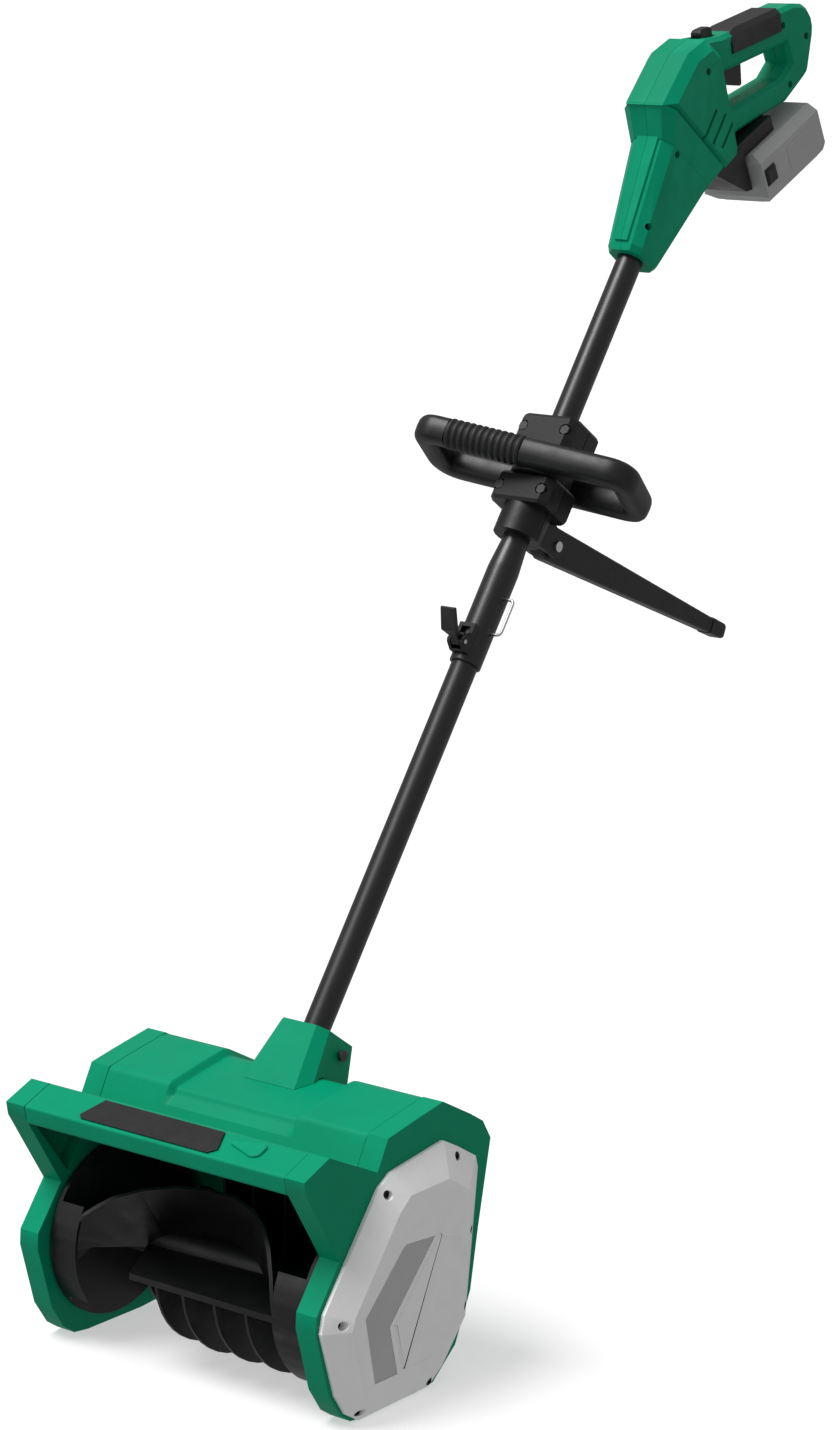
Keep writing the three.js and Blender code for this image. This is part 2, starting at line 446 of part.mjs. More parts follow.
// loop frame: x along the loop, -y towards its front bar, z up the tube
const loop = nest(stick, (frame) => {
  frame.position.z = LOOP_Z;
  frame.rotation.z = THREE.MathUtils.degToRad(16);
});
const LOOP_ENDS = [-112, 90];
const LOOP_Y = 36;
const BAR_R = 12;
const HUB_R = 29;
const GRIP = { x: [-88, -10], core: 9, ribR: 14.6, ribs: 12 }; // on the left part of the front bar
const barNode = ([x, y]) => [[BAR_R - 3.5, -LOOP_HALF], [BAR_R, -LOOP_HALF + 4], [BAR_R, LOOP_HALF - 4],
  [BAR_R - 3.5, LOOP_HALF]].flatMap(([r, z]) => arc(r, 0, 342, 19, x, y).map(([a, b]) => [a, b, z]));
const [LEFT_END, RIGHT_END] = LOOP_ENDS;
const RING = [[GRIP.x[1], -LOOP_Y], [RIGHT_END - 10, -LOOP_Y], [RIGHT_END, -LOOP_Y + 12],
  [RIGHT_END, LOOP_Y - 12], [RIGHT_END - 10, LOOP_Y], [LEFT_END + 14, LOOP_Y], [LEFT_END, LOOP_Y - 14],
  [LEFT_END, -LOOP_Y + 14], [LEFT_END + 10, -LOOP_Y], [GRIP.x[0], -LOOP_Y]];
const ringBars = RING.slice(1).map((point, i) => hull(barNode(RING[i]), barNode(point)));
add(loop, 'assist_loop', FINISH.black, cut(
  join(cut(join(...ringBars), box(...GRIP.x, -90, -LOOP_Y + 17, -30, 30)),
    barrel(HUB_R, -LOOP_HALF, LOOP_HALF),
    rod(GRIP.core, GRIP.x[0] - 2, GRIP.x[1] + 2, -LOOP_Y, 0, 16)),
  barrel(WAIST_R + 0.1, -20, 20)));
const gripLength = GRIP.x[1] - GRIP.x[0] - 2 * GAP;
const ribPitch = gripLength / GRIP.ribs;
const sleeveR = GRIP.core + 0.8;
const gripProfile = [[sleeveR, 0], [12.5, 0]];
for (let i = 0; i < GRIP.ribs; i += 1) {
  gripProfile.push([12.8, (i + 0.08) * ribPitch], [GRIP.ribR, (i + 0.35) * ribPitch],
    [GRIP.ribR, (i + 0.65) * ribPitch]);
}
gripProfile.push([12.5, gripLength], [sleeveR, gripLength], [sleeveR, 0]);
const gripSleeve = new THREE.LatheGeometry(gripProfile.map(([r, x]) => new THREE.Vector2(r, x)), 12)
  .rotateZ(-Math.PI / 2).translate(GRIP.x[0] + GAP, -LOOP_Y, 0);
add(loop, 'ribbed_grip', FINISH.rubber, cut(gripSleeve, barrel(HUB_R + GAP, -20, 20)));

// ---- rear handle: two shells split at x = 0; its outlines are given as (z, y) ----
const HANDLE_START = 1133;
const taper = hull(octagon(18, -19, 22, 8, HANDLE_START), octagon(20, -22, 25, 8, HANDLE_START + 6),
  octagon(21, -26, 30, 8, 1180), octagon(25, -44, 46, 9, 1244));
const waist = hull(octagon(25, -44, 46, 9, 1240), octagon(30, -68, 52, 11, 1264));
const BULGE = [[1262, -68], [1323, -62], [1350, -46], [1352, -20], [1334, 2], [1310, 30], [1298, 56],
  [1286, 62], [1262, 52]].map(([z, y]) => [y, z]).reverse();
const bulge = hull(...[-30, 30].map((x) => atX(inset(BULGE, 9), x)), ...[-21, 21].map((x) => atX(BULGE, x)));
const GRIP_BAR = [[1340, -24, 21], [1358, -8, 17.5], [1453, 76, 17.5], [1451, 88, 26], [1426, 111, 15],
  [1391, 102, 12.5], [1321, 48, 13], [1296, 30, 20]];
const handleBody = join(taper, waist, bulge, bentBar(GRIP_BAR, 17, 4));

// screws as (z, y, x of the shell's surface)
const HANDLE_SCREWS = [[1322, -34, 27], [1236, -24, 20], [1160, -17.5, 17], [1438, 61, 14], [1453, 101, 14],
  [1400, 106, 12.5], [1304, 49, 18]];
const screwBosses = HANDLE_SCREWS.map(([z, y, x]) => rod(4.6, -x, x, y, z, 10));
const screwHoles = HANDLE_SCREWS.flatMap(([z, y, x]) =>
  [rod(3.6, x - 2, 50, y, z, 12), rod(1.7 + GAP, -9, x, y, z, 8)]);
const SWITCH = [-12, 12, -37, -5, 1283, 1313];
const grown = ([x0, x1, y0, y1, z0, z1], by) => [x0 - by, x1 + by, y0 - by, y1 + by, z0 - by, z1 + by];
const hollow = cut(
  join(hull(octagon(16, -19, 21, 6, 1150), octagon(20, -38, 40, 7, 1240)),
    hull(octagon(20, -38, 40, 7, 1239), octagon(25, -60, 45, 9, 1266), octagon(24, -54, 16, 9, 1318),
      octagon(18, -42, -12, 7, 1338))),
  ...screwBosses, box(...grown(SWITCH, 4)), box(-40, 40, -23, -19, 1279, 1317),
  barrel(TUBE_R + 3.5, 1100, 1253));
const hollows = join(hollow, barrel(8, 1248, 1290), box(...grown(SWITCH, 1)));

// grip frame: z along the grip bar from the trigger's pivot, -y up out of it
const gripFrame = nest(stick, (frame) => {
  frame.position.set(0, 4, 1349);
  frame.rotation.x = -Math.atan2(84, 95);
});
const PAD = [[1380, 11.5], [1440, 64.5]];
const GRIP_AXIS = [[1340, -24], [1453, 76]];
// soft pad wrapped over the top of the grip bar; extra grows it by the gap it sits in
const padShape = (extra) => cut(
  common(hull(...PAD.map(([z, y]) => disc([z, y, 20 + extra], 19 + extra, 5))),
    box(-30, 30, -55, -12 + extra, 14 - extra, 99 + extra).applyMatrix4(gripFrame.matrix)),
  hull(...GRIP_AXIS.map(([z, y]) => disc([z, y, 16.4 - extra], 15.9 - extra, 4))));
const TRIGGER_PIN = { y: -3, r: 1.5, half: 12 };
const triggerSlot = box(-9, 9, -13, 22, -5, 42).applyMatrix4(gripFrame.matrix);
const pinReach = TRIGGER_PIN.half + GAP;
const pinHole = rod(TRIGGER_PIN.r + RUN, -pinReach, pinReach, TRIGGER_PIN.y, 0, 16)
  .applyMatrix4(gripFrame.matrix);
const lockSlot = box(-6.4, 6.4, -45.5, -27.5, -23.7, 6.3).applyMatrix4(gripFrame.matrix);
const vents = [-3, 12, 27].flatMap((y) => [-40, 25.5].map((x) =>
  box(x, x + 14.5, y, y + 3.4, 1268 + y / 3, 1302 + y / 3)));

// pack frame: z along the battery's slide, y away from the handle
const pack = nest(stick, (frame) => {
  frame.position.set(0, 73.2, 1295.8);
  frame.rotation.x = -Math.atan2(53, 97);
});
const BASE_BLOCK = [[-12, -56], [-12, -3], [34, -3], [31, -13]];
const BASE_RAIL = [-25, 25, -16, -10, -20, 54];
const baseBlock = (grow) => hull(...[-26 - grow, 26 + grow].map((x) => atX(BASE_BLOCK, x)));
const railWall = (sign) => box(...sideSpan(sign, 17.5, 25), -16, -0.5, -4, 54);
const batteryBase = join(baseBlock(0), box(...BASE_RAIL), railWall(1), railWall(-1));
const baseRoom = [[0, 0], [-GAP, 0], [0, -GAP]].map(([y, z]) =>
  baseBlock(GAP).translate(0, y, z).applyMatrix4(pack.matrix));
const railRoom = box(-25 - GAP, 25 + GAP, -16 - 2 * GAP, 3, -20 - 2 * GAP, 54 + GAP)
  .applyMatrix4(pack.matrix);

const shell = cut(handleBody, barrel(TUBE_R + GAP, 1100, 1249), hollows, triggerSlot, pinHole, lockSlot,
  ...vents, ...screwHoles, ...baseRoom, railRoom, padShape(GAP));
const SPLIT = 0.15; // half the seam between the shells
add(stick, 'handle_shell_right', FINISH.green, common(shell, box(SPLIT, 60, -120, 200, 1100, 1500)));
add(stick, 'handle_shell_left', FINISH.green, common(shell, box(-60, -SPLIT, -120, 200, 1100, 1500)));
HANDLE_SCREWS.forEach(([z, y, x], i) => add(stick, `handle_screw_${i + 1}`, FINISH.darkSteel,
  screw(x + GAP + 0.5, y, z, 3.3, 1.7, 12 + x / 2)));
add(stick, 'grip_pad', FINISH.rubber, padShape(0));

const TRIGGER_BARS = [[3.4, TRIGGER_PIN.y, 0], [3, 13, 8], [3, 22, 34], [3, 4, 36]];
add(gripFrame, 'trigger', FINISH.black, cut(
  hull(...TRIGGER_BARS.map(([r, y, z]) => rod(r, -8, 8, y, z, 16))),
  rod(TRIGGER_PIN.r + RUN, -20, 20, TRIGGER_PIN.y, 0, 16)));
add(gripFrame, 'trigger_pin', FINISH.steel,
  rod(TRIGGER_PIN.r, -TRIGGER_PIN.half, TRIGGER_PIN.half, TRIGGER_PIN.y, 0, 16));
add(gripFrame, 'lock_off_button', FINISH.black,
  hull(box(-6, 6, -39.5, -28.5, -18.7, 1.3), box(-5, 5, -42.5, -40.5, -15.7, -1.7)));
add(stick, 'switch_module', FINISH.black, box(...SWITCH));

add(pack, 'battery_base', FINISH.black, batteryBase);
const PACK_SIDE = [[9, 3], [46, 3], [49, 8], [49, 106], [44, 112], [9, 112]];
const PACK_MIDDLE = [[0, 5], [0, 110], [56, 12], [56, 102], [9, 0], [44, 0]];
add(pack, 'battery_pack', FINISH.batteryGrey, cut(
  join(hull(...[-38, 38].map((x) => atX(PACK_SIDE, x)), ...[-30, 30].map((x) => atX(PACK_MIDDLE, x))),
    box(-17, 17, -7.2, 1, 0.5, 52)),
  box(34.5, 50, 18, 36, 6, 24)));
add(pack, 'battery_latch', FINISH.black, hull(
  box(37, 38, 18 + GAP, 36 - GAP, 6 + GAP, 24 - GAP), box(38, 40.5, 20, 34, 8, 22)));

export default tool;
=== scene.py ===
"""Looks of a cordless snow shovel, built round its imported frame.

Objects are in metres, in the part's own frame. Outlines are in millimetres, in a local frame.
"""
import json
import math

import bmesh
import bpy
from mathutils import Matrix, Vector


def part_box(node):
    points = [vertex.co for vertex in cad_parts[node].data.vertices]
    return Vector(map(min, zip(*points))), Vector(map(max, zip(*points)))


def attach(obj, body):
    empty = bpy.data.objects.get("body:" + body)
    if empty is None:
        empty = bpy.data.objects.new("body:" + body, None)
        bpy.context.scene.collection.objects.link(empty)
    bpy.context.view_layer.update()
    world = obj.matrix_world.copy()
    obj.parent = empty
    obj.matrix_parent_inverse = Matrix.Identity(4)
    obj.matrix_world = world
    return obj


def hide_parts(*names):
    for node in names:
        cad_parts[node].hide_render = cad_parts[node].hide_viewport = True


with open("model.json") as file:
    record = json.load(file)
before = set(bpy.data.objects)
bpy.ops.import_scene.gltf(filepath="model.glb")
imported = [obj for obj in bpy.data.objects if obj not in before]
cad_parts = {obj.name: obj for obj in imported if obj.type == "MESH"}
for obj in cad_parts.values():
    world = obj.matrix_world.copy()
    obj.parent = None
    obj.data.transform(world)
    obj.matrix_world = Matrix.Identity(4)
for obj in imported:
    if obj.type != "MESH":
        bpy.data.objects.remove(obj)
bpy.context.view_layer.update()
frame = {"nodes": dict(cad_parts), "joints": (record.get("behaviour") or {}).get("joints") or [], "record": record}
MM = 0.001
JOINTS = {joint["name"]: joint for joint in frame["joints"]}
BODY_OF = {
    node: body
    for body, nodes in frame["record"]["behaviour"]["bodies"].items()
    for node in nodes
}
SLOT_OF = {row["node"]: row["material_slot"] for row in frame["record"]["subparts"]}


# ---- local frames ----
def axes(local_x, local_y, local_z):
    """Matrix whose local x, y and z lie along the given directions."""
    return Matrix((local_x, local_y, local_z)).transposed().to_4x4()


def turned(parent, place, angle_x=0.0, angle_z=0.0):
    """Frame at a place in another, in mm, turned about its own x, then z."""
    move = Matrix.Translation(Vector(place) * MM)
    return parent @ move @ Matrix.Rotation(angle_z, 4, "Z") @ Matrix.Rotation(angle_x, 4, "X")


X = (1, 0, 0)
Y = (0, 1, 0)
Z = (0, 0, 1)
ALONG_X = Matrix.Rotation(math.pi / 2, 4, "Y")

# the stick's frame: local z runs up the tube, and the loop's centre is at LOOP_STATION
TUBE_AXIS = Vector(JOINTS["assist_height"]["axis"]).normalized()
LOOP_CENTRE = Vector(JOINTS["assist_swivel"]["pos_m"])
LOOP_STATION = 905
LOOP_TURN = 16  # degrees about the tube, at rest
STICK = Matrix.Translation(LOOP_CENTRE - TUBE_AXIS * LOOP_STATION * MM) @ axes(
    X, (0, TUBE_AXIS.z, -TUBE_AXIS.y), (0, TUBE_AXIS.y, TUBE_AXIS.z)
)
LOOP = turned(STICK, (0, 0, LOOP_STATION), angle_z=math.radians(LOOP_TURN))
PACK = turned(STICK, (0, 73.2, 1295.8), angle_x=-math.atan2(53, 97))  # local z is the battery's slide

# the head's frame: turned as the part's own, with the auger's axis at AUGER_Y, AUGER_Z
AUGER_Y = 52
AUGER_Z = 90
HEAD = Matrix.Translation(Vector(JOINTS["auger_spin"]["pos_m"]) - Vector((0, AUGER_Y, AUGER_Z)) * MM)
VISOR = turned(HEAD, (0, -54, 228), angle_x=math.atan2(13, 32))  # local z points out of the visor's slope
SIDEWAYS = HEAD @ axes(Y, Z, X)  # local x and y are the head's y and z, local z is its x

# ---- materials ----
NOISE_LOW = 0.3  # most of a noise texture's values lie between these two
NOISE_HIGH = 0.7
NOISE_ROUGHNESS = 0.6
EDGE_START = 0.52  # pointiness where the edge wear and painted highlight begin, and where they are full
EDGE_FULL = 0.62
# scale of the noise that breaks up the edge wear and painted highlight
EDGE_WEAR_AND_HIGHLIGHT_SCALE = 60
EDGE_WEAR_AND_HIGHLIGHT_LEAST = 0.2  # share of the edge wear and painted highlight that is left where the noise is low
GRAIN_DEPTH = 0.0004
COAT_ROUGHNESS = 0.12


def srgb(value):
    """Linear value of one colour channel given from 0 to 255."""
    value /= 255
    return value / 12.92 if value <= 0.04045 else ((value + 0.055) / 1.055) ** 2.4


def tone(red, green, blue):
    return (srgb(red), srgb(green), srgb(blue), 1.0)


def link(tree, start, end):
    tree.links.new(start, end)


def noise(tree, scale, detail=4.0, stretch=None):
    """Noise over the object's own coordinates; stretch is a scale for each axis."""
    coordinates = tree.nodes.new("ShaderNodeTexCoord")
    texture = tree.nodes.new("ShaderNodeTexNoise")
    texture.inputs["Scale"].default_value = scale
    texture.inputs["Detail"].default_value = detail
    texture.inputs["Roughness"].default_value = NOISE_ROUGHNESS
    source = coordinates.outputs["Object"]
    if stretch:
        mapping = tree.nodes.new("ShaderNodeMapping")
        mapping.inputs["Scale"].default_value = stretch
        link(tree, source, mapping.inputs["Vector"])
        source = mapping.outputs["Vector"]
    link(tree, source, texture.inputs["Vector"])
    return texture.outputs["Fac"]


def spread(tree, value, low, high):
    """Maps noise from its middle range to low..high."""
    node = tree.nodes.new("ShaderNodeMapRange")
    node.inputs["From Min"].default_value = NOISE_LOW
    node.inputs["From Max"].default_value = NOISE_HIGH
    node.inputs["To Min"].default_value = low
    node.inputs["To Max"].default_value = high
    link(tree, value, node.inputs["Value"])
    return node.outputs["Result"]


def mixed(tree, factor, first, second):
    """Mix of two colours, each a fixed colour or another node's output."""
    node = tree.nodes.new("ShaderNodeMix")
    node.data_type = "RGBA"
    link(tree, factor, node.inputs["Factor"])
    for name, value in (("A", first), ("B", second)):
        target = next(i for i in node.inputs if i.name == name and i.type == "RGBA")
        if isinstance(value, tuple):
            target.default_value = value
        else:
            link(tree, value, target)
    return next(o for o in node.outputs if o.type == "RGBA")


def edge_wear_and_highlight(tree, amount):
    """Factor for wear and a painted highlight that grows on convex edges, broken up by noise."""
    geometry = tree.nodes.new("ShaderNodeNewGeometry")
    ramp = tree.nodes.new("ShaderNodeMapRange")
    ramp.inputs["From Min"].default_value = EDGE_START
    ramp.inputs["From Max"].default_value = EDGE_FULL
    ramp.inputs["To Max"].default_value = amount
    link(tree, geometry.outputs["Pointiness"], ramp.inputs["Value"])
    product = tree.nodes.new("ShaderNodeMath")
    product.operation = "MULTIPLY"
    link(tree, ramp.outputs["Result"], product.inputs[0])
    link(tree, spread(tree, noise(tree, EDGE_WEAR_AND_HIGHLIGHT_SCALE), EDGE_WEAR_AND_HIGHLIGHT_LEAST, 1.0), product.inputs[1])
    return product.outputs["Value"]


def surface(
    name, low, high, rough, metallic=0.0, patch=14.0, grain=900.0, bump=0.05, coat=0.0, edge=None,
    edge_wear_and_highlight_amount=0.35, stretch=None, specular=0.5,
):
    """Moulded or painted surface: colour drifts from low to high, rough is a range, grain gives the bump, and edge
    is the lighter colour of wear and painted highlight on convex edges.
    """
    material = bpy.data.materials.new(name)
    material.use_nodes = True
    tree = material.node_tree
    shader = tree.nodes["Principled BSDF"]
    shader.inputs["Metallic"].default_value = metallic
    shader.inputs["Coat Weight"].default_value = coat
    shader.inputs["Coat Roughness"].default_value = COAT_ROUGHNESS
    shader.inputs["Specular IOR Level"].default_value = specular
    drift = noise(tree, patch, detail=6.0, stretch=stretch)
    colour = mixed(tree, spread(tree, drift, 0.0, 1.0), low, high)
    # convex edges are lightened towards edge: wear, and a painted highlight
    if edge:
        colour = mixed(tree, edge_wear_and_highlight(tree, edge_wear_and_highlight_amount), colour, edge)
    link(tree, colour, shader.inputs["Base Color"])
    fine = noise(tree, grain, detail=2.0, stretch=stretch)
    smudge = noise(tree, patch * 3, detail=5.0, stretch=stretch)
    link(tree, spread(tree, smudge, *rough), shader.inputs["Roughness"])
    height = tree.nodes.new("ShaderNodeBump")
    height.inputs["Strength"].default_value = bump
    height.inputs["Distance"].default_value = GRAIN_DEPTH
    link(tree, fine, height.inputs["Height"])
    link(tree, height.outputs["Normal"], shader.inputs["Normal"])
    return material


# each edge colour is a lighter tone on convex edges: wear, and a painted highlight where light would catch them
FINISHES = {
    "green_shell": dict(
        low=tone(0, 137, 100), high=tone(0, 144, 106), rough=(0.36, 0.46), grain=1500, bump=0.06,
        edge=tone(40, 185, 145), edge_wear_and_highlight_amount=0.2, specular=0.08,
    ),
    "silver_cover": dict(
        low=tone(236, 236, 236), high=tone(243, 243, 243), rough=(0.34, 0.46), grain=2200, bump=0.08,
        edge=tone(252, 252, 252), edge_wear_and_highlight_amount=0.4,
    ),
    "dark_inlay": dict(
        low=tone(176, 176, 176), high=tone(186, 186, 186), rough=(0.35, 0.5), grain=1600, bump=0.12,
    ),
    "black_plastic": dict(
        low=tone(11, 11, 12), high=tone(16, 16, 17), rough=(0.34, 0.48), grain=1300, bump=0.12,
        edge=tone(84, 84, 86), edge_wear_and_highlight_amount=0.35, specular=0.35,
    ),
    "black_rubber": dict(
        low=tone(13, 13, 13), high=tone(19, 19, 19), rough=(0.5, 0.65), grain=1900, bump=0.2,
        edge=tone(62, 62, 62), edge_wear_and_highlight_amount=0.3,
    ),
    "black_tube": dict(
        low=tone(10, 10, 11), high=tone(15, 15, 16), rough=(0.34, 0.42), grain=700, bump=0.02, coat=0.12,
        stretch=(1, 1, 0.15),
    ),
    "bare_steel": dict(
        low=tone(196, 196, 195), high=tone(214, 214, 212), rough=(0.3, 0.42), metallic=1.0, grain=900,
        bump=0.05, stretch=(1, 1, 0.2),
    ),
    "dark_steel": dict(
        low=tone(24, 24, 25), high=tone(34, 34, 36), rough=(0.34, 0.46), metallic=0.5, grain=1200,
        bump=0.06, edge=tone(120, 120, 120), specular=0.35,
    ),
    "bronze_bush": dict(
        low=tone(150, 112, 60), high=tone(172, 130, 74), rough=(0.4, 0.55), metallic=1.0, grain=1200,
        bump=0.1,
    ),
    "white_nylon": dict(
        low=tone(214, 208, 190), high=tone(226, 221, 206), rough=(0.4, 0.5), grain=900, bump=0.04,
    ),
    "battery_grey": dict(
        low=tone(156, 156, 157), high=tone(166, 166, 167), rough=(0.4, 0.52), grain=1400, bump=0.1,
        edge=tone(205, 205, 205), edge_wear_and_highlight_amount=0.3,
    ),
    "cable": dict(low=tone(20, 20, 20), high=tone(26, 26, 26), rough=(0.5, 0.6), grain=900, bump=0.05),
}
MATERIALS = {name: surface(name, **finish) for name, finish in FINISHES.items()}


def give_finish(piece, node):
    """Material and slot of a CAD node."""
    piece.data.materials.clear()
    piece.data.materials.append(MATERIALS[SLOT_OF[node]])


# ---- mesh building ----
WELD = 1e-6  # points closer than this, in metres, are one point
CAD_WELD = 2e-6
FACE_WEIGHT = 80  # how far large faces lead the smoothed normals
CORNER_SHARE = 0.48  # the most of an edge that one rounded corner takes


def new_object(name, mesh):
    piece = bpy.data.objects.new(name, mesh)
    bpy.context.scene.collection.objects.link(piece)
    return piece


def mesh_from(name, points, faces, place=Matrix.Identity(4)):
    """Mesh of points in mm in a local frame, with its faces turned outwards."""
    mesh = bpy.data.meshes.new(name)
    mesh.from_pydata([place @ (Vector(point) * MM) for point in points], [], faces)
    work = bmesh.new()
    work.from_mesh(mesh)
    bmesh.ops.remove_doubles(work, verts=work.verts, dist=WELD)
    bmesh.ops.recalc_face_normals(work, faces=work.faces)
    work.to_mesh(mesh)
    work.free()
    return mesh


def join_parts(mesh, extras):
    """Adds closed islands, such as moulded ribs, to a mesh."""
    work = bmesh.new()
    work.from_mesh(mesh)
    for extra in extras:
        work.from_mesh(extra)
    work.to_mesh(mesh)
    work.free()


def soften(piece, width, segments, angle):
    """Rounds edges sharper than angle, in degrees, and keeps the faces between them flat."""
    piece.data.shade_smooth()
    if width:
        bevel = piece.modifiers.new("round", "BEVEL")
        bevel.width = width * MM
        bevel.segments = segments
        bevel.limit_method = "ANGLE"
        bevel.angle_limit = math.radians(angle)
    normals = piece.modifiers.new("normals", "WEIGHTED_NORMAL")
    normals.keep_sharp = False
    normals.weight = FACE_WEIGHT


def stand_in(name, mesh, node, width=0.0, segments=3, angle=32):
    """New piece with the finish and the body of the CAD node that it hides."""
    piece = new_object(name, mesh)
    soften(piece, width, segments, angle)
    give_finish(piece, node)
    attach(piece, BODY_OF[node])
    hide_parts(node)


def refine(node, width, segments=3, angle=32, extras=(), flat=1.0):
    """Stand-in made from the CAD solid itself, with rounded edges and moulded extras.

    Faces within flat degrees of each other are first made one face.
    """
    mesh = frame["nodes"][node].data.copy()
    work = bmesh.new()
    work.from_mesh(mesh)
    bmesh.ops.remove_doubles(work, verts=work.verts, dist=CAD_WELD)
    bmesh.ops.dissolve_limit(
        work, angle_limit=math.radians(flat), verts=work.verts, edges=work.edges, delimit={"NORMAL"}
    )
    work.to_mesh(mesh)
    work.free()
    join_parts(mesh, extras)
    stand_in(f"{node}_body", mesh, node, width, segments, angle)


def loft(name, sections, place):
    """Closed skin over rings of points, each ring with the same count, capped at both ends."""
    count = len(sections[0])
    points = [point for ring in sections for point in ring]
    faces = [tuple(range(count)), tuple(range(len(points) - count, len(points)))]
    for i in range(len(sections) - 1):
        for k in range(count):
            a = i * count + k
            b = i * count + (k + 1) % count
            faces.append((a, b, b + count, a + count))
    return mesh_from(name, points, faces, place)


def lathe(name, profile, place, sides=64, closed=False):
    """Turns a (radius, height) profile about the local z axis; a closed profile makes a ring."""
    rings = len(profile)
    points = [
        (r * math.cos(2 * math.pi * i / sides), r * math.sin(2 * math.pi * i / sides), z)
        for r, z in profile
        for i in range(sides)
    ]
    faces = []
    for k in range(rings if closed else rings - 1):
        low = k * sides
        high = (k + 1) % rings * sides
        for i in range(sides):
            faces.append((low + i, low + (i + 1) % sides, high + (i + 1) % sides, high + i))
    if not closed:
        faces += [tuple(range(sides)), tuple(range((rings - 1) * sides, rings * sides))]
    return mesh_from(name, points, faces, place)


def rectangle(low_x, low_y, high_x, high_y):
    return [(low_x, low_y), (high_x, low_y), (high_x, high_y), (low_x, high_y)]


def rounded(points, radius, steps=4):
    """Outline with each corner replaced by a smooth turn; radius is one number or one for each corner."""
    radii = radius if isinstance(radius, list) else [radius] * len(points)
    smooth = []
    for i, corner in enumerate(points):
        here = Vector(corner)
        before = Vector(points[i - 1]) - here
        after = Vector(points[(i + 1) % len(points)]) - here
        reach = min(radii[i], before.length * CORNER_SHARE, after.length * CORNER_SHARE)
        start = here + before.normalized() * reach
        end = here + after.normalized() * reach
        for step in range(steps + 1):
            t = step / steps
            smooth.append(tuple((1 - t) ** 2 * start + 2 * t * (1 - t) * here + t * t * end))
    return smooth


def inset(points, by):
    """Outline moved inwards; its corners run anticlockwise."""
    moved = []
    for i, corner in enumerate(points):
        here = Vector(corner)
        first = (here - Vector(points[i - 1])).normalized()
        second = (Vector(points[(i + 1) % len(points)]) - here).normalized()
        normals = Vector((-first.y, first.x)) + Vector((-second.y, second.x))
        lean = 1 + first.dot(second)
        moved.append(tuple(here + normals * (by / lean)))
    return moved


def arc(radius, start, end, steps, centre):
    """Points along an arc between two angles in degrees."""
    turns = [math.radians(start + (end - start) * i / steps) for i in range(steps + 1)]
    return [(centre[0] + radius * math.cos(t), centre[1] + radius * math.sin(t)) for t in turns]


def slab(name, outline, low, high, place, edge=0.0):
    """Outline in local x and y between two heights, its top edge cut back by edge."""
    rings = [[(x, y, low) for x, y in outline], [(x, y, high - edge) for x, y in outline]]
    if edge:
        rings.append([(x, y, high) for x, y in inset(outline, edge)])
    return loft(name, rings, place)


def bar(name, path, across, up, place, power=3.0, sides=20):
    """Bar swept along a flat path in local x and y; power 2 is round, and more is squarer."""
    section = []
    for i in range(sides):
        turn = 2 * math.pi * i / sides
        c = math.cos(turn)
        s = math.sin(turn)
        section.append((math.copysign(abs(c) ** (2 / power), c), math.copysign(abs(s) ** (2 / power), s)))
    rings = []
    for i, point in enumerate(path):
        ahead = Vector(path[min(i + 1, len(path) - 1)]) - Vector(path[max(i - 1, 0)])
        side = Vector((-ahead.y, ahead.x)).normalized() * across
        rings.append([(point[0] + side.x * u, point[1] + side.y * u, up * v) for u, v in section])
    return loft(name, rings, place)


# ---- head: shell ----
HALF_SHELL = 149.7  # shell's half width, inside the plates
TUNNEL = 88  # radius round the auger
TUNNEL_START = 101  # angles in degrees where the tunnel leaves the underside and meets the rear wall
TUNNEL_END = -36
TUNNEL_STEPS = 26
BAND = (-74, 70)  # sunken band across the roof
BAND_DEPTH = 5.5
SHOULDER = 7  # width of the slope at each side of the band


def shell_sections():
    """Profiles of the shell across the head: rear wall, roof, visor, underside and auger tunnel."""
    rear = [(150, 34), (166, 71), (177, 127), (194, 203)]
    roof = [(183, 221), (165, 232), (128, 252), (84, 244), (54, 238), (50, 230.5)]
    front = [(44.6, 220.5), (40, 212), (-22, 241)]
    under = [(-54, 228), (-51, 212), (22, 180)]
    tunnel = arc(TUNNEL, TUNNEL_START, TUNNEL_END, TUNNEL_STEPS, (AUGER_Y, AUGER_Z))
    sunk = inset(rear + roof + front + under, BAND_DEPTH)[len(rear):len(rear) + len(roof)]
    # how far each corner of the rear, roof, front and underside is rounded
    softness = [2, 2, 2, 2] + [6, 5, 7, 7, 7, 6] + [0.5, 1.5, 3] + [2.5, 2, 2.5]
    slope = [0, 0.07, 0.25, 0.5, 0.75, 0.93, 1]
    left = [(BAND[0] - SHOULDER / 2 + SHOULDER * t, t) for t in slope]
    right = [(BAND[1] - SHOULDER / 2 + SHOULDER * t, 1 - t) for t in slope]
    rings = []
    for x, t in [(-HALF_SHELL, 0)] + left + right + [(HALF_SHELL, 0)]:
        depth = t * t * (3 - 2 * t)
        roof_here = [tuple(Vector(a).lerp(Vector(b), depth)) for a, b in zip(roof, sunk)]
        outline = rounded(rear + roof_here + front + under, softness)
        rings.append([(y, z, x) for y, z in outline + tunnel])
    return rings


ARROW_RIB = [(75, 24), (75, 20), (104, 11), (111, 15), (111, 27), (106, 30)]
ARROW_ROOT = -2
ARROW_PROUD = 2.4
REAR_RIBS = [(-110, -104), (-60, -54), (54, 60), (104, 110)]  # from and to across the head
REAR_RIB_SIDE = [(150, 60), (168, 70), (179.6, 126), (194.5, 196), (180, 200)]
shell_mesh = loft("housing_shell", shell_sections(), SIDEWAYS)
arrow_rib = slab("arrow_rib", rounded(ARROW_RIB, 3), ARROW_ROOT, ARROW_PROUD, VISOR, edge=1)
rear_ribs = [slab("rear_rib", REAR_RIB_SIDE, start, end, SIDEWAYS) for start, end in REAR_RIBS]
join_parts(shell_mesh, [arrow_rib] + rear_ribs)
stand_in("housing_shell", shell_mesh, "auger_housing", 0.8, angle=50)

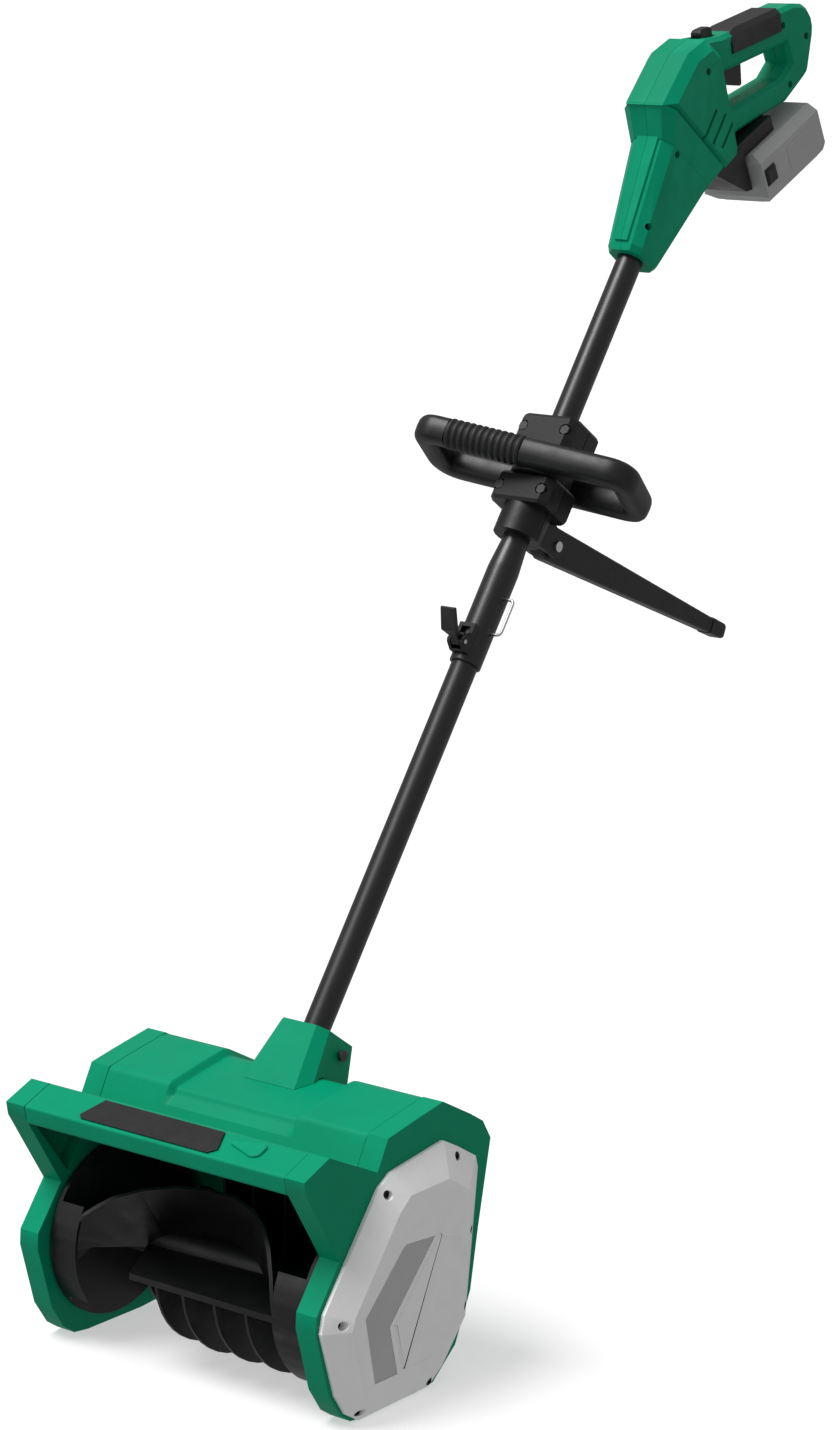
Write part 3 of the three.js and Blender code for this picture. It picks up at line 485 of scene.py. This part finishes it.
# ---- head: plates and covers ----
LEFT_FACE = -170  # inner end of the left cover's ribs, which stand RIB_PROUD
RIB_PROUD = 2.4
RIB_WIDE = 5
RIB_FOOT = 60
RIB_TOPS = {28: 150, 44: 156, 60: 160, 76: 162, 92: 164}  # each rib's front edge, and how high it reaches
cover_ribs = []
for front, top in RIB_TOPS.items():
    rib = rounded(rectangle(front, RIB_FOOT, front + RIB_WIDE, top), 2)
    cover_ribs.append(slab("cover_rib", rib, LEFT_FACE - RIB_PROUD, LEFT_FACE, SIDEWAYS))

RAISED_PANEL = [(49, 37), (95, 36), (121, 62), (127, 74), (133, 138), (101, 147), (39, 81)]
PANEL_CORNERS = [1, 12, 9, 9, 14, 1, 1]
PANEL_ROOT = 189
PANEL_FACE = 191.8
PANEL_SLOPE = 2.6
panel_outline = rounded(RAISED_PANEL, PANEL_CORNERS, steps=6)
raised_panel = slab("raised_panel", panel_outline, PANEL_ROOT, PANEL_FACE, SIDEWAYS, edge=PANEL_SLOPE)

refine("gear_case", 3.5, segments=4, angle=24)
refine("side_plate_left", 2.4, angle=24)
refine("side_cover_left", 0.8, extras=cover_ribs)
refine("drive_cover", 1.4, segments=4, angle=12, extras=[raised_panel])
refine("chevron_inlay", 0.3)
refine("label_plaque", 0.5)
refine("neck_socket", 3.0, segments=4, angle=20)
refine("scraper_bar", 1.0)
refine("auger", 0.7, angle=40)

# ---- screws: domed head with a recess, and a shank ----
SCREWS = 7  # in the drive cover, and as many in the rear handle
HEAD_DEPTH = 2.2
RECESS_DEPTH = 1.4
SHANK_R = 1.7
SHANK_START = 2  # below the head's top


def screw_head(name, radius, place):
    """Screw head whose local z points out of it, with its origin on top."""
    profile = [
        (radius, -HEAD_DEPTH), (radius, -0.9), (radius * 0.9, -0.3), (radius * 0.62, 0),
        (radius * 0.5, -0.1), (radius * 0.45, -RECESS_DEPTH),
    ]
    return lathe(name, profile, place, sides=24)


def dress_screw(node, radius):
    """Screw that looks along +X."""
    low, high = (Vector(corner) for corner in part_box(node))
    place = Matrix.Translation((high.x, (low.y + high.y) / 2, (low.z + high.z) / 2)) @ ALONG_X
    mesh = screw_head(node, radius, place)
    length = (high.x - low.x) / MM
    shank = [(SHANK_R, -length), (SHANK_R, -SHANK_START)]
    join_parts(mesh, [lathe("shank", shank, place, sides=16)])
    stand_in(f"{node}_body", mesh, node, 0.15, segments=2)


for number in range(1, SCREWS + 1):
    dress_screw(f"cover_screw_{number}", 3.7)
    dress_screw(f"handle_screw_{number}", 3.3)

# ---- tubes, along the stick ----
TUBE_R = 12.5
BORE_R = 11.1
LOWER_START = 276
LOWER_END = 792
SOCKET_R = 15  # the upper tube's swaged socket
SOCKET_START = 702
SWAGE = 800
SOCKET_END = 830
UPPER_END = 1248
SLIDE_FIT = 0.3  # the socket's bore over the lower tube
BREAK = 0.4  # broken edge of a cut end
lower_profile = [
    (BORE_R, LOWER_START), (TUBE_R - 0.3, LOWER_START), (TUBE_R, LOWER_START + BREAK),
    (TUBE_R, LOWER_END - BREAK), (TUBE_R, LOWER_END), (BORE_R, LOWER_END),
]
upper_profile = [
    (TUBE_R + SLIDE_FIT, SOCKET_START), (SOCKET_R - 0.5, SOCKET_START), (SOCKET_R, SOCKET_START + 0.6),
    (SOCKET_R, SWAGE), (SOCKET_R - 0.3, SWAGE + 4), (TUBE_R + 0.3, SOCKET_END - 4), (TUBE_R, SOCKET_END),
    (TUBE_R, UPPER_END - BREAK), (TUBE_R - 0.3, UPPER_END), (BORE_R, UPPER_END), (BORE_R, SOCKET_END),
    (TUBE_R + SLIDE_FIT, SWAGE),
]
stand_in("lower_tube_body", lathe("lower_tube_body", lower_profile, STICK, closed=True), "lower_tube", 0.2)
stand_in("upper_tube_body", lathe("upper_tube_body", upper_profile, STICK, closed=True), "upper_tube", 0.2)

# ---- assist handle: loop with a hub round the tube, and a core under the ribbed grip ----
LOOP_LEFT = -112
LOOP_RIGHT = 90
LOOP_Y = 36
BAR_ACROSS = 12  # half the bar's section
BAR_UP = 13
CORE_R = 9
CORE_LAP = 4  # how far the core runs into the bar at each end
HUB_BORE = 21.2
HUB_R = 29
HUB_EDGE = 1
GRIP_START = -88
GRIP_END = -10
TURN_STEPS = 8
OPEN_END = 0.01  # an open path's first and last point, which are not rounded
RING = [
    (GRIP_END, -LOOP_Y), (LOOP_RIGHT, -LOOP_Y), (LOOP_RIGHT, LOOP_Y), (LOOP_LEFT, LOOP_Y),
    (LOOP_LEFT, -LOOP_Y), (GRIP_START, -LOOP_Y),
]
RING_CORNERS = [OPEN_END, 16, 16, 22, 24, OPEN_END]
HUB = [
    (HUB_BORE, -BAR_UP), (HUB_R - HUB_EDGE, -BAR_UP), (HUB_R, HUB_EDGE - BAR_UP),
    (HUB_R, BAR_UP - HUB_EDGE), (HUB_R - HUB_EDGE, BAR_UP), (HUB_BORE, BAR_UP),
]
ring_path = rounded(RING, RING_CORNERS, TURN_STEPS)[TURN_STEPS:-TURN_STEPS]
core_path = [(GRIP_START - CORE_LAP, -LOOP_Y), (GRIP_END + CORE_LAP, -LOOP_Y)]
loop_mesh = bar("assist_loop_body", ring_path, BAR_ACROSS, BAR_UP, LOOP)
hub_mesh = lathe("hub", HUB, LOOP, closed=True)
join_parts(loop_mesh, [hub_mesh, bar("grip_core", core_path, CORE_R, CORE_R, LOOP, power=2)])
stand_in("assist_loop_body", loop_mesh, "assist_loop", 0.6, angle=50)

RIBS = 12
RIB_STEPS = 8
RIB_HEIGHT = 2.3
RIB_FULLNESS = 0.7  # below 1 the ribs are fuller than a sine wave
GRIP_GAP = 0.3  # at each end of the grip
GRIP_LENGTH = GRIP_END - GRIP_START - 2 * GRIP_GAP
GRIP_BORE = 9.8
GRIP_R = 12.3
grip_profile = [(GRIP_BORE, 0.0)]
for i in range(RIBS * RIB_STEPS + 1):
    swell = abs(math.sin(math.pi * i / RIB_STEPS)) ** RIB_FULLNESS
    grip_profile.append((GRIP_R + RIB_HEIGHT * swell, GRIP_LENGTH * i / (RIBS * RIB_STEPS)))
grip_profile.append((GRIP_BORE, GRIP_LENGTH))
grip_place = turned(LOOP, (GRIP_START + GRIP_GAP, -LOOP_Y, 0)) @ ALONG_X
stand_in("ribbed_grip_body", lathe("ribbed_grip_body", grip_profile, grip_place, closed=True), "ribbed_grip")

refine("clamp_front", 1.6, segments=4, angle=24)
refine("clamp_rear", 1.6, segments=4, angle=24)

# ---- prop leg, with a boot on its tip ----
LEG_ROOT = Vector((0, 43, 852))
LEG_TIP = Vector((0, 342, 914))
# place along the leg, then half the boot's width and height there
BOOT = [(-18, 8.2, 7.6), (-17.5, 8.9, 8.3), (4, 8.9, 7.7), (7, 8, 6.6), (8.4, 6, 4.5)]
leg_turn = math.atan2(LEG_TIP.z - LEG_ROOT.z, LEG_TIP.y - LEG_ROOT.y)
boot_rings = []
for along, wide, high in BOOT:
    boot_rings.append([(x, along, z) for x, z in rounded(rectangle(-wide, -high, wide, high), 3)])
boot_mesh = loft("boot", boot_rings, turned(STICK, LEG_TIP, angle_x=leg_turn))
refine("prop_leg", 1.4, segments=4, angle=24, extras=[boot_mesh])

# ---- rear handle ----
SPINE = [(1141, -22.4, 9), (1242, -43.5, 14)]  # z and y on the stick, and half the width, at each end
SPINE_PROUD = 2.2
SPINE_ROOT = 3
SPINE_SLOPE = 2  # how far its side leans in
SPLIT = 0.15  # half the gap between the two shells


def spine_half(sign):
    """Half of the raised spine on the front of the taper."""
    rings = []
    for z, y, wide in SPINE:
        near = sign * SPLIT
        far = sign * wide
        crest = y - SPINE_PROUD
        root = y + SPINE_ROOT
        lean = sign * SPINE_SLOPE
        rings.append([(near, root, z), (near, crest, z), (far - lean, crest, z), (far, root, z)])
    return loft("spine", rings, STICK)


for node, sign in (("handle_shell_right", 1), ("handle_shell_left", -1)):
    refine(node, 1.1, angle=20, extras=[spine_half(sign)], flat=0.05)
refine("grip_pad", 2.0, segments=4, angle=24)
refine("trigger", 1.0, segments=4)
refine("lock_off_button", 1.2, segments=4)


# ---- battery ----
LID = rectangle(-29, 12, 29, 100)
LID_ROOT = 50
LID_FACE = 56.9
SIDE_PANEL = rectangle(16, 48, 42, 100)
SIDE_ROOT = 36
SIDE_FACE = 38.8


def battery_details():
    """Raised lid and side panels of the battery, in its slide's frame."""
    parts = [slab("lid", rounded(LID, 8), LID_ROOT, LID_FACE, PACK @ axes(X, Z, Y), edge=0.8)]
    for side in (-1, 1):
        place = PACK @ axes(Y, Z, (side, 0, 0))
        parts.append(slab("side_panel", rounded(SIDE_PANEL, 5), SIDE_ROOT, SIDE_FACE, place, edge=0.6))
    return parts


refine("battery_pack", 3.0, segments=4, angle=24, extras=battery_details())
refine("battery_base", 1.0)
refine("battery_latch", 0.5)

# ---- lock lever, and a wire clip bent at two corners ----
WIRE_R = 1.5
WIRE = [(14.0, 736), (25.5, 736), (25.5, 772), (14.0, 772)]  # x and z on the stick
wire_path = rounded(WIRE, [OPEN_END, 5, 5, OPEN_END], TURN_STEPS)[TURN_STEPS:-TURN_STEPS]
wire_mesh = bar("wire_clip_body", wire_path, WIRE_R, WIRE_R, STICK @ axes(X, Z, (0, -1, 0)), power=2)
refine("lever_bracket", 0.6)
refine("lock_lever", 0.9)
stand_in("wire_clip_body", wire_mesh, "wire_clip")

# ---- CAD nodes, of which those that no piece hides stay as they are ----
for node, piece in frame["nodes"].items():
    give_finish(piece, node)

# ---- floor: its glow makes it white, and it throws no light on the object ----
FLOOR_REACH = 2e5
FLOOR_DROP = 0.0005  # m
FLOOR_GLOW = 0.5
WHITE = (1, 1, 1, 1)
floor_points = [(x, y, 0) for x, y in rectangle(-FLOOR_REACH, -FLOOR_REACH, FLOOR_REACH, FLOOR_REACH)]
floor = new_object("floor", mesh_from("floor", floor_points, [(0, 1, 2, 3)]))
floor.location.z = -FLOOR_DROP
floor_material = surface(
    "floor", (0.5, 0.5, 0.5, 1), (0.52, 0.52, 0.52, 1), (0.75, 0.85), bump=0.01, specular=0.1
)
floor_shader = floor_material.node_tree.nodes["Principled BSDF"]
floor_shader.inputs["Emission Color"].default_value = WHITE
floor_shader.inputs["Emission Strength"].default_value = FLOOR_GLOW
floor.data.materials.append(floor_material)
floor.visible_diffuse = False
floor.visible_glossy = False

# ---- light ----
WORLD_STRENGTH = 0.4
SUN_FROM = (-0.9, -1.25, 3.2)
SUN_ENERGY = 2.85
SUN_SPREAD = 30  # degrees
STRIP_FROM = (-1.2, -2.4, 1.3)
STRIP_AIM = (0, 0, 0.6)
STRIP_SIZE = (0.9, 2.4)
STRIP_WATTS = 9
world = bpy.data.worlds.new("studio")
bpy.context.scene.world = world
world.use_nodes = True
world.node_tree.nodes["Background"].inputs["Color"].default_value = WHITE
world.node_tree.nodes["Background"].inputs["Strength"].default_value = WORLD_STRENGTH


def hang(light, position, target):
    """Lamp at a position, turned to a target."""
    lamp = bpy.data.objects.new(light.name, light)
    lamp.location = position
    lamp.rotation_euler = (Vector(target) - Vector(position)).to_track_quat("-Z", "Y").to_euler()
    bpy.context.scene.collection.objects.link(lamp)


sun = bpy.data.lights.new("sun", "SUN")
sun.energy = SUN_ENERGY
sun.angle = math.radians(SUN_SPREAD)
hang(sun, SUN_FROM, (0, 0, 0))
strip = bpy.data.lights.new("strip", "AREA")
strip.shape = "RECTANGLE"
strip.size, strip.size_y = STRIP_SIZE
strip.energy = STRIP_WATTS
hang(strip, STRIP_FROM, STRIP_AIM)

# ---- camera ----
CAMERA_PLACE = (2.08573, -2.70599, 1.25211)
CAMERA_DIP = 12.136  # degrees below level
CAMERA_TURN = 39  # degrees to the left of +Y
LENS = 95.07
SENSOR = 36
CLIP_END = 100
camera_data = bpy.data.cameras.new("camera")
camera_data.sensor_width = SENSOR
camera_data.lens = LENS
camera_data.clip_end = CLIP_END
camera = bpy.data.objects.new("camera", camera_data)
camera.location = CAMERA_PLACE
camera.rotation_euler = (math.radians(90 - CAMERA_DIP), 0, math.radians(CAMERA_TURN))
bpy.context.scene.collection.objects.link(camera)
bpy.context.scene.camera = camera
bpy.context.scene.view_settings.view_transform = "Standard"
